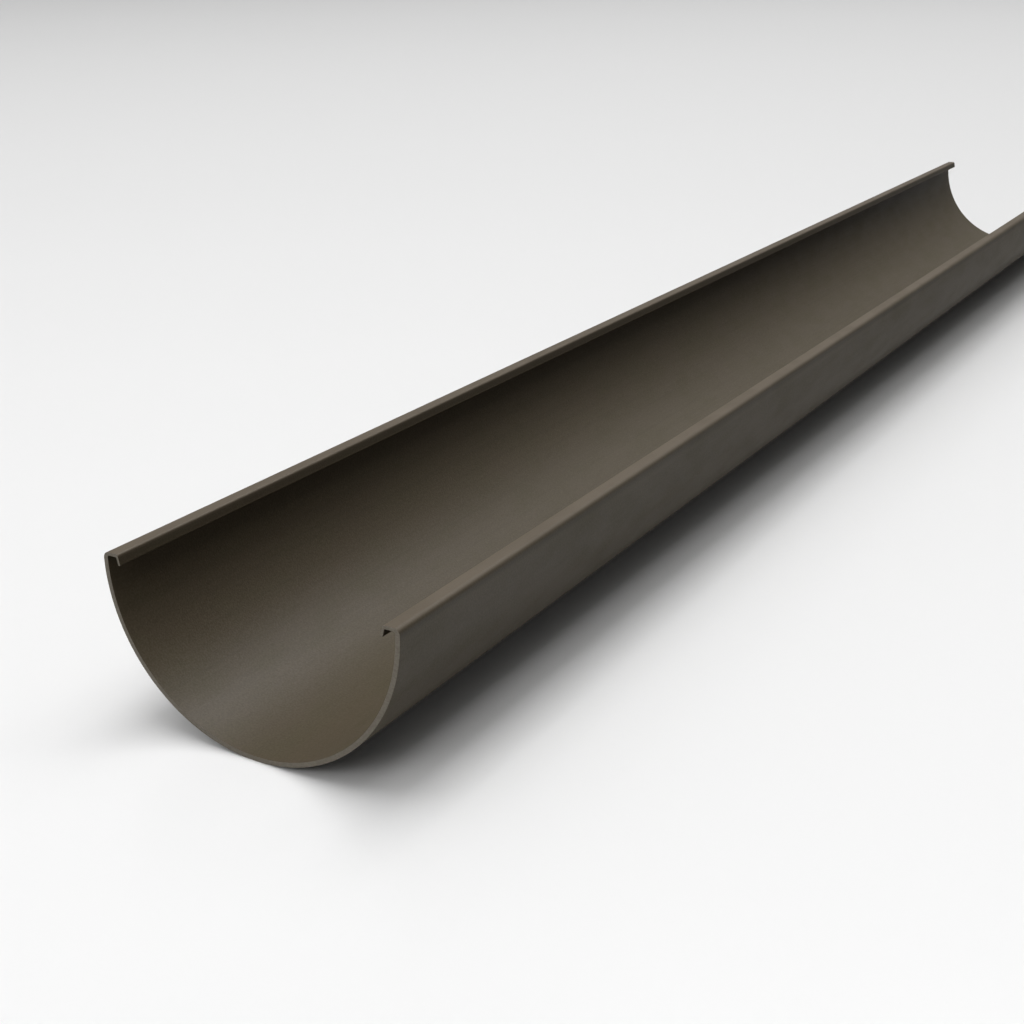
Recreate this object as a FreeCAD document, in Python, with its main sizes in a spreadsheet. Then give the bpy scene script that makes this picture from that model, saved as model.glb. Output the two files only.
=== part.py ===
"""Half-round gutter section: one length of extruded uPVC trough, open at both ends.

The trough is a half circle. At the top of each side a rounded shoulder turns the
wall inward into a flat rim, and the rim folds down again into a thin lip that
leans in, so that a groove open downward runs under each rim from end to end.

Frame: length along Y, width along X, +Z up. The origin lies on the underside of
the round, halfway along the length. Millimetres throughout.
"""
import FreeCAD, Part
import math
import os
import sys

import Sketcher

SIZES = (
    ("gutter_length", 1000.0, "length of the section between its two sawn ends"),
    ("outer_radius", 60.0, "outside radius of the half round"),
    ("wall", 1.8, "thickness of the half round"),
    ("rim_rise", 2.5, "centre of the half round up to the top of the rims"),
    ("rim_width", 6.5, "outside of the wall to the inner face of the lip"),
    ("rim_wall", 1.2, "thickness of the flat rim over the groove"),
    ("shoulder_radius", 2.3, "outside corner between wall and rim"),
    ("shoulder_fillet", 0.8, "inside corner between wall and rim, in the groove"),
    ("fold_radius", 0.9, "outside of the fold between rim and lip"),
    ("fold_fillet", 0.3, "inside of the fold between rim and lip, in the groove"),
    ("lip_wall", 0.9, "thickness of the lip"),
    ("lip_depth", 4.1, "top of the rim to the bottom of the lip"),
    ("lip_lean", 13.0, "degrees by which the lip leans in, away from the wall"),
)

START, END, CENTRE = range(1, 4)
HORIZONTAL_AXIS, VERTICAL_AXIS = range(-1, -3, -1)
ORIGIN = (HORIZONTAL_AXIS, START)


def make_sizes(doc):
    """The driving dimensions, one named cell each."""
    sheet = doc.addObject("Spreadsheet::Sheet", "Sizes")
    for row, (name, value, meaning) in enumerate(SIZES, start=1):
        sheet.set(f"A{row}", meaning)
        sheet.set(f"B{row}", str(value))
        sheet.setAlias(f"B{row}", name)
    doc.recompute()
    return sheet


def origin_plane(body, role):
    """One of the body's own origin planes, found by its role."""
    return next(plane for plane in body.Origin.OriginFeatures if plane.Role == role)


def draw_half_section(sketch, sheet):
    """Right half of the cross-section: sketch x is the part's X, sketch y its Z.

    The outline runs from the underside up the outside of the round, over the
    rim, round the lip, back through the groove and down the inside.
    """
    outer = sheet.outer_radius
    inner = outer - sheet.wall
    rise = sheet.rim_rise
    top = outer + rise
    shoulder = sheet.shoulder_radius
    pocket = sheet.shoulder_fillet
    fold = sheet.fold_radius
    nook = sheet.fold_fillet
    groove_top = top - sheet.rim_wall
    tip = sheet.lip_wall / 2
    lean = math.radians(sheet.lip_lean)
    across = FreeCAD.Vector(math.cos(lean), -math.sin(lean), 0)
    downward = FreeCAD.Vector(-math.sin(lean), -math.cos(lean), 0)
    quarter = math.pi / 2
    half = math.pi

    def point(x, z):
        return FreeCAD.Vector(x, z, 0)

    def line(start, end):
        return sketch.addGeometry(Part.LineSegment(start, end), False)

    def arc(centre, radius, first, last):
        circle = Part.Circle(centre, FreeCAD.Vector(0, 0, 1), radius)
        return sketch.addGeometry(Part.ArcOfCircle(circle, first, last), False)

    def corner_in_round(round_radius, corner_radius, ceiling):
        """Centre and first angle of a corner that leaves a round and meets a level line."""
        height = ceiling - corner_radius - outer
        reach = math.sqrt((round_radius - corner_radius) ** 2 - height**2)
        return point(reach, outer + height), math.atan2(height, reach)

    def constrain(kind, *target):
        return sketch.addConstraint(Sketcher.Constraint(kind, *target))

    def measure(kind, target, value, name, formula):
        index = constrain(kind, *target, value)
        sketch.renameConstraint(index, name)
        sketch.setExpression(f"Constraints.{name}", formula)

    round_centre = point(0, outer)
    shoulder_centre, shoulder_start = corner_in_round(outer, shoulder, top)
    pocket_centre, pocket_start = corner_in_round(inner, pocket, groove_top)
    fold_centre = point(outer - sheet.rim_width + fold, top - fold)
    fold_end = fold_centre - across * fold
    tip_height = top - sheet.lip_depth + tip
    lip_foot = fold_end + downward * ((fold_end.y - tip_height - tip * math.sin(lean)) / math.cos(lean))
    tip_centre = lip_foot + across * tip
    lip_heel = tip_centre + across * tip
    nook_rise = groove_top - nook - lip_heel.y + nook * math.sin(lean)
    nook_start = lip_heel - downward * (nook_rise / math.cos(lean))
    nook_centre = nook_start + across * nook

    outer_round = arc(round_centre, outer, -quarter, shoulder_start)
    shoulder_arc = arc(shoulder_centre, shoulder, shoulder_start, quarter)
    rim_top = line(point(shoulder_centre.x, top), point(fold_centre.x, top))
    fold_arc = arc(fold_centre, fold, quarter, half - lean)
    lip_face = line(fold_end, lip_foot)
    lip_tip = arc(tip_centre, tip, half - lean, 2 * half - lean)
    lip_back = line(lip_heel, nook_start)
    nook_arc = arc(nook_centre, nook, quarter, half - lean)
    rim_under = line(point(nook_centre.x, groove_top), point(pocket_centre.x, groove_top))
    pocket_arc = arc(pocket_centre, pocket, pocket_start, quarter)
    inner_round = arc(round_centre, inner, -quarter, pocket_start)
    middle = line(point(0, outer - inner), point(0, 0))

    constrain("Coincident", outer_round, START, *ORIGIN)
    constrain("PointOnObject", outer_round, CENTRE, VERTICAL_AXIS)
    constrain("Tangent", outer_round, END, shoulder_arc, START)
    constrain("Tangent", shoulder_arc, END, rim_top, START)
    constrain("Horizontal", rim_top)
    constrain("Tangent", rim_top, END, fold_arc, START)
    constrain("Tangent", fold_arc, END, lip_face, START)
    constrain("Tangent", lip_face, END, lip_tip, START)
    constrain("Tangent", lip_tip, END, lip_back, START)
    constrain("Parallel", lip_face, lip_back)
    constrain("Tangent", lip_back, END, nook_arc, END)
    constrain("Tangent", nook_arc, START, rim_under, START)
    constrain("Horizontal", rim_under)
    constrain("Tangent", rim_under, END, pocket_arc, END)
    constrain("Tangent", pocket_arc, START, inner_round, END)
    constrain("Coincident", inner_round, CENTRE, outer_round, CENTRE)
    constrain("PointOnObject", inner_round, START, VERTICAL_AXIS)
    constrain("Coincident", inner_round, START, middle, START)
    constrain("Coincident", middle, END, outer_round, START)

    measure("Radius", (outer_round,), outer, "outer_radius", "Sizes.outer_radius")
    measure("DistanceY", (middle, END, middle, START), outer - inner, "wall", "Sizes.wall")
    measure("DistanceY", (outer_round, CENTRE, rim_top, END), rise, "rim_rise", "Sizes.rim_rise")
    measure("Radius", (shoulder_arc,), shoulder, "shoulder_radius", "Sizes.shoulder_radius")
    measure("Radius", (pocket_arc,), pocket, "shoulder_fillet", "Sizes.shoulder_fillet")
    measure("Radius", (fold_arc,), fold, "fold_radius", "Sizes.fold_radius")
    measure("Radius", (nook_arc,), nook, "fold_fillet", "Sizes.fold_fillet")
    measure("Radius", (lip_tip,), tip, "lip_wall", "Sizes.lip_wall / 2")
    measure("Angle", (lip_back,), quarter - lean, "lip_lean", "90 - Sizes.lip_lean")
    measure("DistanceY", (rim_under, END, rim_top, START), top - groove_top, "rim_wall", "Sizes.rim_wall")
    measure(
        "DistanceX",
        (*ORIGIN, fold_arc, CENTRE),
        fold_centre.x,
        "rim_width",
        "Sizes.outer_radius - Sizes.rim_width + Sizes.fold_radius",
    )
    measure(
        "DistanceY",
        (lip_tip, CENTRE, rim_top, END),
        top - tip_height,
        "lip_depth",
        "Sizes.lip_depth - Sizes.lip_wall / 2",
    )


def make_trough(doc, sheet):
    """The extruded section: half of it padded along Y, then mirrored across the middle."""
    body = doc.addObject("PartDesign::Body", "gutter_trough")
    body.Label = "gutter_trough"
    section = body.newObject("Sketcher::SketchObject", "half_section")
    section.AttachmentSupport = (origin_plane(body, "XZ_Plane"), "")
    section.MapMode = "FlatFace"
    draw_half_section(section, sheet)
    doc.recompute()

    extrusion = body.newObject("PartDesign::Pad", "extrusion")
    extrusion.Profile = section
    extrusion.SideType = "Symmetric"
    extrusion.setExpression("Length", "Sizes.gutter_length")
    doc.recompute()

    both_halves = body.newObject("PartDesign::Mirrored", "both_halves")
    both_halves.Originals = [extrusion]
    both_halves.MirrorPlane = (origin_plane(body, "YZ_Plane"), "")
    body.Tip = both_halves
    doc.recompute()

    body.Placement = FreeCAD.Placement()
    return body


def check(doc, bodies):
    """Stop before anything is written if an object failed or a solid is not whole."""
    for item in doc.Objects:
        if "Invalid" in item.State or "Error" in item.State:
            sys.exit(f"{item.Label} did not compute: {item.State}")
    for body in bodies:
        shape = body.Shape
        if shape.isNull() or not shape.isValid() or len(shape.Solids) != 1:
            sys.exit(f"{body.Label} is not one valid solid")


doc = FreeCAD.newDocument("gutter_section")
sizes = make_sizes(doc)
trough = make_trough(doc, sizes)
doc.recompute()
check(doc, [trough])

os.makedirs("parts", exist_ok=True)
trough.Shape.exportStep(f"parts/{trough.Label}.step")
box = trough.Shape.BoundBox
print(f"{trough.Label}: {box.XLength:.2f} x {box.YLength:.2f} x {box.ZLength:.2f} mm")
print(f"volume {trough.Shape.Volume:.0f} mm3, faces {len(trough.Shape.Faces)}")
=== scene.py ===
import math

import bmesh
import bpy
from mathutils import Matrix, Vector


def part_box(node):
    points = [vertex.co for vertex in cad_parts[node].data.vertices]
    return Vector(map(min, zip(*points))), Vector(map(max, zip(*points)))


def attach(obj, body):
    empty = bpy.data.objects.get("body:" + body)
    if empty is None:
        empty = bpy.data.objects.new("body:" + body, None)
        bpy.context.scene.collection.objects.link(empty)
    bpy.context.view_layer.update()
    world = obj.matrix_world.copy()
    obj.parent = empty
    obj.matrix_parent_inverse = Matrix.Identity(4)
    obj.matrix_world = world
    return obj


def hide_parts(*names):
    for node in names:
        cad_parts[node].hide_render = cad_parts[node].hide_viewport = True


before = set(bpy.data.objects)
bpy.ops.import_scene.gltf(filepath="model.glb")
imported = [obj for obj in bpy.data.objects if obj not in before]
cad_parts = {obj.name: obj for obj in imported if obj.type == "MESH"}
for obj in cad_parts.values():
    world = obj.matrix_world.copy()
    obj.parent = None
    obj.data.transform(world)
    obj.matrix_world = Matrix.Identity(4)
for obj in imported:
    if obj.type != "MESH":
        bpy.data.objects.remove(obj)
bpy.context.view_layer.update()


# ---------------------------------------------------------------- the trough
# One extruded uPVC section: a half round whose walls turn in at the top through
# a rounded shoulder to a flat rim, which folds down into a thin lip. Nothing is
# fixed to it, and both ends are sawn square.

trough_low, trough_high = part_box("gutter_trough")
outer_radius = (trough_high.x - trough_low.x) / 2
length = trough_high.y - trough_low.y
rim_top = trough_high.z
wall = 0.0018
rim_width = 0.0065
rim_wall = 0.0012
lip_wall = 0.0009
lip_depth = 0.0041
lip_lean = math.radians(13)
shoulder_radius = 0.0023
shoulder_fillet = 0.0008
fold_radius = 0.0009
fold_fillet = 0.0003
arris = 0.0001
same_place = 1e-6
round_centre = Vector((0, trough_low.y, trough_low.z + outer_radius))
groove = Vector((outer_radius - (wall + rim_width) / 2, trough_low.y, rim_top - lip_depth))

# The half round: the wall's thickness, swung a quarter turn about the round's axis.
trough = bmesh.new()
underside = trough.verts.new(round_centre - Vector((0, 0, outer_radius)))
bed = trough.verts.new(round_centre - Vector((0, 0, outer_radius - wall)))
thickness = trough.edges.new((underside, bed))
swung = bmesh.ops.spin(
    trough,
    geom=[underside, bed, thickness],
    cent=round_centre,
    axis=(0, 1, 0),
    angle=-math.pi / 2,
    steps=72,
    use_duplicate=False,
)
last_edge = next(part for part in swung["geom_last"] if isinstance(part, bmesh.types.BMEdge))


def point(x, z):
    """A point of the section, on the plane of the front end."""
    return Vector((x, trough_low.y, z))


def carry_on(edge, outside, inside):
    """Carries the wall on from its last edge to a new edge between two given points."""
    grown = bmesh.ops.extrude_edge_only(trough, edges=[edge])["geom"]
    new_edge = next(part for part in grown if isinstance(part, bmesh.types.BMEdge))
    near_end, far_end = sorted(new_edge.verts, key=lambda end: (end.co - groove).length)
    far_end.co = outside
    near_end.co = inside
    return new_edge


def on_lip(depth, height):
    """The point of the lip that lies that deep behind its face, at that height."""
    sideways = depth - fold_radius + (height - rim_top + fold_radius) * math.sin(lip_lean)
    return point(outer_radius - rim_width + fold_radius + sideways / math.cos(lip_lean), height)


# The rim and its lip, carried on from the wall with square corners.
half_lip = lip_wall / 2
groove_top = rim_top - rim_wall
lip_across = Vector((math.cos(lip_lean), 0, -math.sin(lip_lean))) * half_lip
lip_down = Vector((-math.sin(lip_lean), 0, -math.cos(lip_lean))) * half_lip
lip_end = on_lip(half_lip, rim_top - lip_depth + half_lip) + lip_down
shoulder_corner = point(outer_radius, rim_top)
pocket_corner = point(outer_radius - wall, groove_top)
fold_corner = on_lip(0, rim_top)
nook_corner = on_lip(lip_wall, groove_top)
lip_foot = lip_end - lip_across
lip_heel = lip_end + lip_across
shoulder_edge = carry_on(last_edge, shoulder_corner, pocket_corner)
fold_edge = carry_on(shoulder_edge, fold_corner, nook_corner)
carry_on(fold_edge, lip_foot, lip_heel)

# Both halves, drawn out to the full length.
right_half = trough.verts[:] + trough.edges[:] + trough.faces[:]
bmesh.ops.mirror(trough, geom=right_half, axis="X", merge_dist=same_place)
drawn = bmesh.ops.extrude_face_region(trough, geom=trough.faces[:])["geom"]
drawn_ends = [part for part in drawn if isinstance(part, bmesh.types.BMVert)]
bmesh.ops.translate(trough, verts=drawn_ends, vec=(0, length, 0))
bmesh.ops.recalc_face_normals(trough, faces=trough.faces[:])


def soften(edges, offset, segments):
    """Rounds edges of the trough, starting that far from each of them."""
    bmesh.ops.bevel(
        trough,
        geom=edges,
        affect="EDGES",
        offset=offset,
        offset_type="OFFSET",
        segments=segments,
        profile=0.5,
        material=-1,
    )


def round_off(corner, radius, turn, segments):
    """Rounds the long edges that run from a corner of the section, left and right."""
    edges = [
        edge
        for edge in trough.edges
        if all(abs(abs(end.co.x) - corner.x) < same_place for end in edge.verts)
        and all(abs(end.co.z - corner.z) < same_place for end in edge.verts)
    ]
    soften(edges, radius * math.tan(turn / 2), segments)


# The tip's two corners together leave a sliver of the lip's end flat.
square = math.radians(90)
tip_radius = half_lip * 0.95
round_off(shoulder_corner, shoulder_radius, square, segments=10)
round_off(pocket_corner, shoulder_fillet, square, segments=6)
round_off(fold_corner, fold_radius, square - lip_lean, segments=8)
round_off(nook_corner, fold_fillet, square - lip_lean, segments=4)
round_off(lip_foot, tip_radius, square, segments=5)
round_off(lip_heel, tip_radius, square, segments=5)

# The saw leaves the ends square; a light scrape has taken the burr off their edges.
ends_y = (trough_low.y, trough_high.y)
sharpest_left_alone = math.radians(60)
sawn_edges = [
    edge
    for edge in trough.edges
    if len(edge.link_faces) == 2
    and any(all(abs(end.co.y - y) < same_place for end in edge.verts) for y in ends_y)
    and edge.calc_face_angle() > sharpest_left_alone
]
soften(sawn_edges, arris, segments=2)
bmesh.ops.recalc_face_normals(trough, faces=trough.faces[:])
SKIN, SAWN = 0, 1
for face in trough.faces:
    face.smooth = True
    face.material_index = SAWN if abs(face.normal.y) > 0.5 else SKIN


def put_in_scene(form, name):
    """Turns a finished form into a mesh object of that name."""
    mesh = bpy.data.meshes.new(name)
    form.to_mesh(mesh)
    form.free()
    piece = bpy.data.objects.new(name, mesh)
    bpy.context.scene.collection.objects.link(piece)
    return piece


extruded_trough = put_in_scene(trough, "extruded_trough")
extruded_trough.data.set_sharp_from_angle(angle=math.radians(28))


def new_material(name):
    """A material with its shader, ready for the pattern nodes that follow."""
    material = bpy.data.materials.new(name)
    material.use_nodes = True
    return material, material.node_tree.nodes["Principled BSDF"]


def noise(material, waves, detail, turn=(0, 0, 0)):
    """A noise from 0 to 1, with so many waves to the metre along X, Y and Z."""
    nodes, links = material.node_tree.nodes, material.node_tree.links
    place = nodes.new("ShaderNodeTexCoord")
    stretch = nodes.new("ShaderNodeMapping")
    stretch.inputs["Scale"].default_value = waves
    stretch.inputs["Rotation"].default_value = turn
    texture = nodes.new("ShaderNodeTexNoise")
    texture.inputs["Scale"].default_value = 1
    texture.inputs["Detail"].default_value = detail
    links.new(place.outputs["Object"], stretch.inputs["Vector"])
    links.new(stretch.outputs["Vector"], texture.inputs["Vector"])
    return texture.outputs["Fac"]


def spread(material, value, low, high, to_low, to_high):
    """Maps the part of a value between low and high to a new range."""
    nodes, links = material.node_tree.nodes, material.node_tree.links
    mapped = nodes.new("ShaderNodeMapRange")
    mapped.inputs["From Min"].default_value = low
    mapped.inputs["From Max"].default_value = high
    mapped.inputs["To Min"].default_value = to_low
    mapped.inputs["To Max"].default_value = to_high
    links.new(value, mapped.inputs["Value"])
    return mapped.outputs["Result"]


def tint(material, share, first, second):
    """Colour that goes from the first to the second as the share goes from 0 to 1."""
    nodes, links = material.node_tree.nodes, material.node_tree.links
    mix = nodes.new("ShaderNodeMix")
    mix.data_type = "RGBA"
    for socket, colour in ((mix.inputs[6], first), (mix.inputs[7], second)):
        if isinstance(colour, tuple):
            socket.default_value = (*colour, 1)
        else:
            links.new(colour, socket)
    links.new(share, mix.inputs[0])
    return mix.outputs[2]


def combine(material, operation, first, second):
    """Two values worked into one, by a named operation such as ADD or MAXIMUM."""
    nodes, links = material.node_tree.nodes, material.node_tree.links
    worked = nodes.new("ShaderNodeMath")
    worked.operation = operation
    links.new(first, worked.inputs[0])
    links.new(second, worked.inputs[1])
    return worked.outputs["Value"]


def relief(material, height, depth, under=None):
    """Bumps as deep as given, in metres, on top of any that lie under them."""
    nodes, links = material.node_tree.nodes, material.node_tree.links
    bump = nodes.new("ShaderNodeBump")
    bump.inputs["Strength"].default_value = 1
    bump.inputs["Distance"].default_value = depth
    links.new(height, bump.inputs["Height"])
    if under:
        links.new(under, bump.inputs["Normal"])
    return bump.outputs["Normal"]


# The skin that the die leaves: umber brown through the wall, with a slow drift of
# tone, olive mottling, a fine pale grain and faint dark lines drawn along the length.
umber = (0.064, 0.048, 0.027)
umber_light = (0.076, 0.059, 0.034)
umber_olive = (0.063, 0.0525, 0.026)
grain_pale = (0.125, 0.102, 0.072)
drawn_dark = (0.03, 0.024, 0.014)
grain_depth = 0.00005
drawn_depth = 0.000012
skin, shader = new_material("upvc_umber_skin")
drift = spread(skin, noise(skin, (9, 2.5, 9), 3), 0.35, 0.65, 0, 1)
mottle = spread(skin, noise(skin, (90, 40, 90), 3), 0.4, 0.7, 0, 0.6)
grain = noise(skin, (1500, 1500, 1500), 3)
drawn_lines = noise(skin, (900, 3, 900), 2)
grain_share = spread(skin, grain, 0.35, 0.7, 0, 0.4)
drawn_share = spread(skin, drawn_lines, 0.45, 0.75, 0, 0.12)
body_colour = tint(skin, drift, umber, umber_light)
body_colour = tint(skin, mottle, body_colour, umber_olive)
body_colour = tint(skin, grain_share, body_colour, grain_pale)
body_colour = tint(skin, drawn_share, body_colour, drawn_dark)

# A band across the shoulders and lips, just below the rim top, is painted darker as painted
# shade. The tops of the rims are painted paler as a painted highlight.
painted_shoulder_shade = (0.03, 0.023, 0.014)
painted_rim_highlight_pale = (0.124, 0.098, 0.068)
painted_rim_highlight_brown = (0.1, 0.078, 0.053)
shoulder_shade_from, shoulder_shade_to = rim_top - 0.0042, rim_top - 0.0026
rim_highlight_from, rim_highlight_to = rim_top - 0.0013, rim_top - 0.0003
place = skin.node_tree.nodes.new("ShaderNodeTexCoord")
place_xyz = skin.node_tree.nodes.new("ShaderNodeSeparateXYZ")
skin.node_tree.links.new(place.outputs["Object"], place_xyz.inputs["Vector"])
above_floor = place_xyz.outputs["Z"]
# Painted shade: a darker band on the shoulders and lips, from 4.2 to 2.6 mm below the rim top.
shoulder_shade_share = spread(skin, above_floor, shoulder_shade_from, shoulder_shade_to, 0, 0.4)
# Painted highlight: the tops of the rims, painted paler within 1.3 mm of the rim top.
rim_highlight_share = spread(skin, above_floor, rim_highlight_from, rim_highlight_to, 0, 0.85)
rim_highlight_colour = tint(skin, mottle, painted_rim_highlight_pale, painted_rim_highlight_brown)
body_colour = tint(skin, shoulder_shade_share, body_colour, painted_shoulder_shade)
body_colour = tint(skin, rim_highlight_share, body_colour, rim_highlight_colour)
skin.node_tree.links.new(body_colour, shader.inputs["Base Color"])

# A satin gloss that goes flat where the skin is seen edge on, a little uneven.
satin, flat_edge_on, unevenness = 0.39, 0.64, 0.05
facing = skin.node_tree.nodes.new("ShaderNodeLayerWeight")
facing.inputs["Blend"].default_value = 0.5
gloss = spread(skin, facing.outputs["Facing"], 0.3, 0.75, satin, flat_edge_on)
uneven = spread(skin, mottle, 0, 0.6, 0, unevenness)
roughness = combine(skin, "ADD", gloss, uneven)
skin.node_tree.links.new(roughness, shader.inputs["Roughness"])
shader.inputs["Specular IOR Level"].default_value = 0.3
bumps = relief(skin, drawn_lines, drawn_depth)
bumps = relief(skin, grain, grain_depth, bumps)
skin.node_tree.links.new(bumps, shader.inputs["Normal"])

# The sawn ends: the same plastic, rougher where the blade has torn it, painted paler partly
# for the torn cut and partly as painted light, with its fine marks running across the wall.
# Painted light: the ends are painted paler than the skin, partly for the torn cut and partly
# standing in for the light that falls on them.
torn_and_painted_light_brown = (0.165, 0.141, 0.103)
torn_and_painted_light_pale = (0.215, 0.19, 0.15)
blade_pale = (0.27, 0.243, 0.2)
blade_slant = math.radians(24)
blade_depth = 0.00004
sawn, shader = new_material("upvc_umber_sawn")
torn = noise(sawn, (900, 900, 900), 4)
saw_marks = noise(sawn, (180, 180, 3200), 2, (0, blade_slant, 0))
torn_share = spread(sawn, torn, 0.35, 0.65, 0, 1)
blade_share = spread(sawn, saw_marks, 0.45, 0.75, 0, 0.5)
torn_roughness = spread(sawn, torn, 0.3, 0.7, 0.5, 0.66)
sawn_colour = tint(sawn, torn_share, torn_and_painted_light_brown, torn_and_painted_light_pale)
sawn_colour = tint(sawn, blade_share, sawn_colour, blade_pale)
bumps = relief(sawn, saw_marks, blade_depth)
sawn.node_tree.links.new(sawn_colour, shader.inputs["Base Color"])
sawn.node_tree.links.new(torn_roughness, shader.inputs["Roughness"])
sawn.node_tree.links.new(bumps, shader.inputs["Normal"])
extruded_trough.data.materials.append(skin)
extruded_trough.data.materials.append(sawn)

# The drawn faces are flat between their rounded corners, so the shading follows
# the larger faces.
flatness = extruded_trough.modifiers.new("flatness", "WEIGHTED_NORMAL")
flatness.keep_sharp = True
flatness.weight = 100
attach(extruded_trough, "root")
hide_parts("gutter_trough")


# ---------------------------------------------------------------- the studio
# A plain pale floor that the trough lies on, soft lamps overhead, in front and
# behind, and a camera that looks down the length of the trough from above its
# front end.

floor_size = 24
floor_form = bmesh.new()
bmesh.ops.create_grid(floor_form, x_segments=1, y_segments=1, size=floor_size / 2)
bmesh.ops.translate(floor_form, verts=floor_form.verts[:], vec=(0, 0, trough_low.z))
studio_floor = put_in_scene(floor_form, "studio_floor")

# Looked at, in a gloss or through glass, the floor is pale; it throws less light back.
floor_seen = (0.9, 0.9, 0.9)
floor_thrown = (0.28, 0.28, 0.28)
floor_paint, shader = new_material("pale_floor")
sight = floor_paint.node_tree.nodes.new("ShaderNodeLightPath").outputs
looked_at = sight["Is Camera Ray"]
for way in ("Is Glossy Ray", "Is Transmission Ray"):
    looked_at = combine(floor_paint, "MAXIMUM", looked_at, sight[way])
floor_colour = tint(floor_paint, looked_at, floor_thrown, floor_seen)
floor_paint.node_tree.links.new(floor_colour, shader.inputs["Base Color"])
shader.inputs["Roughness"].default_value = 0.2
shader.inputs["Specular IOR Level"].default_value = 0.2
studio_floor.data.materials.append(floor_paint)


def softbox(name, place, target, width, depth, power):
    """A soft rectangular lamp that shines from a place towards a target."""
    lamp = bpy.data.lights.new(name, "AREA")
    lamp.shape = "RECTANGLE"
    lamp.size = width
    lamp.size_y = depth
    lamp.energy = power
    holder = bpy.data.objects.new(name, lamp)
    holder.location = place
    aim = Vector(target) - Vector(place)
    holder.rotation_euler = aim.to_track_quat("-Z", "Y").to_euler()
    bpy.context.scene.collection.objects.link(holder)


softbox("overhead_wide", (-0.1, -1.7, 5.4), (-0.1, -1.7, 0), width=5.2, depth=14.6, power=262)
softbox("overhead_core", (-0.25, 1.6, 5.3), (-0.25, 1.6, 0), width=1.95, depth=8, power=130)
softbox("front_panel", (0.2, -5, 3.2), (0, -0.4, 0), width=3, depth=2, power=56)
softbox("back_panel", (2.4, 5.2, 5.4), (0, 0, 0), width=2.2, depth=2.2, power=27)

# The room beyond the lamps: pale to the left and behind, dim to the right.
to_pale_side = (-0.5, 0.6, 0)
dim_side, pale_side = 0.04, 0.52
studio_air = bpy.data.worlds.new("studio_air")
studio_air.use_nodes = True
air_nodes, air_links = studio_air.node_tree.nodes, studio_air.node_tree.links
bearing = air_nodes.new("ShaderNodeTexCoord")
lean_to_pale = air_nodes.new("ShaderNodeVectorMath")
lean_to_pale.operation = "DOT_PRODUCT"
lean_to_pale.inputs[1].default_value = to_pale_side
air_links.new(bearing.outputs["Generated"], lean_to_pale.inputs[0])
paleness = spread(studio_air, lean_to_pale.outputs["Value"], -0.5, 0.8, dim_side, pale_side)
air_links.new(paleness, air_nodes["Background"].inputs["Strength"])
air_nodes["Background"].inputs["Color"].default_value = (1, 1, 1, 1)
bpy.context.scene.world = studio_air
bpy.context.scene.view_settings.view_transform = "Standard"

# The camera stands off the front end's right side and looks along the trough.
to_the_right, before_front_end, above_ground = 0.29877, 0.33707, 0.26022
tilt, roll, swing = 1.199549, 0.002158, 0.534449
view = bpy.data.cameras.new("view")
view.lens = 53.908
view.clip_end = 100
camera = bpy.data.objects.new("view", view)
camera.location = (to_the_right, trough_low.y - before_front_end, above_ground)
camera.rotation_euler = (tilt, roll, swing)
bpy.context.scene.collection.objects.link(camera)
bpy.context.scene.camera = camera
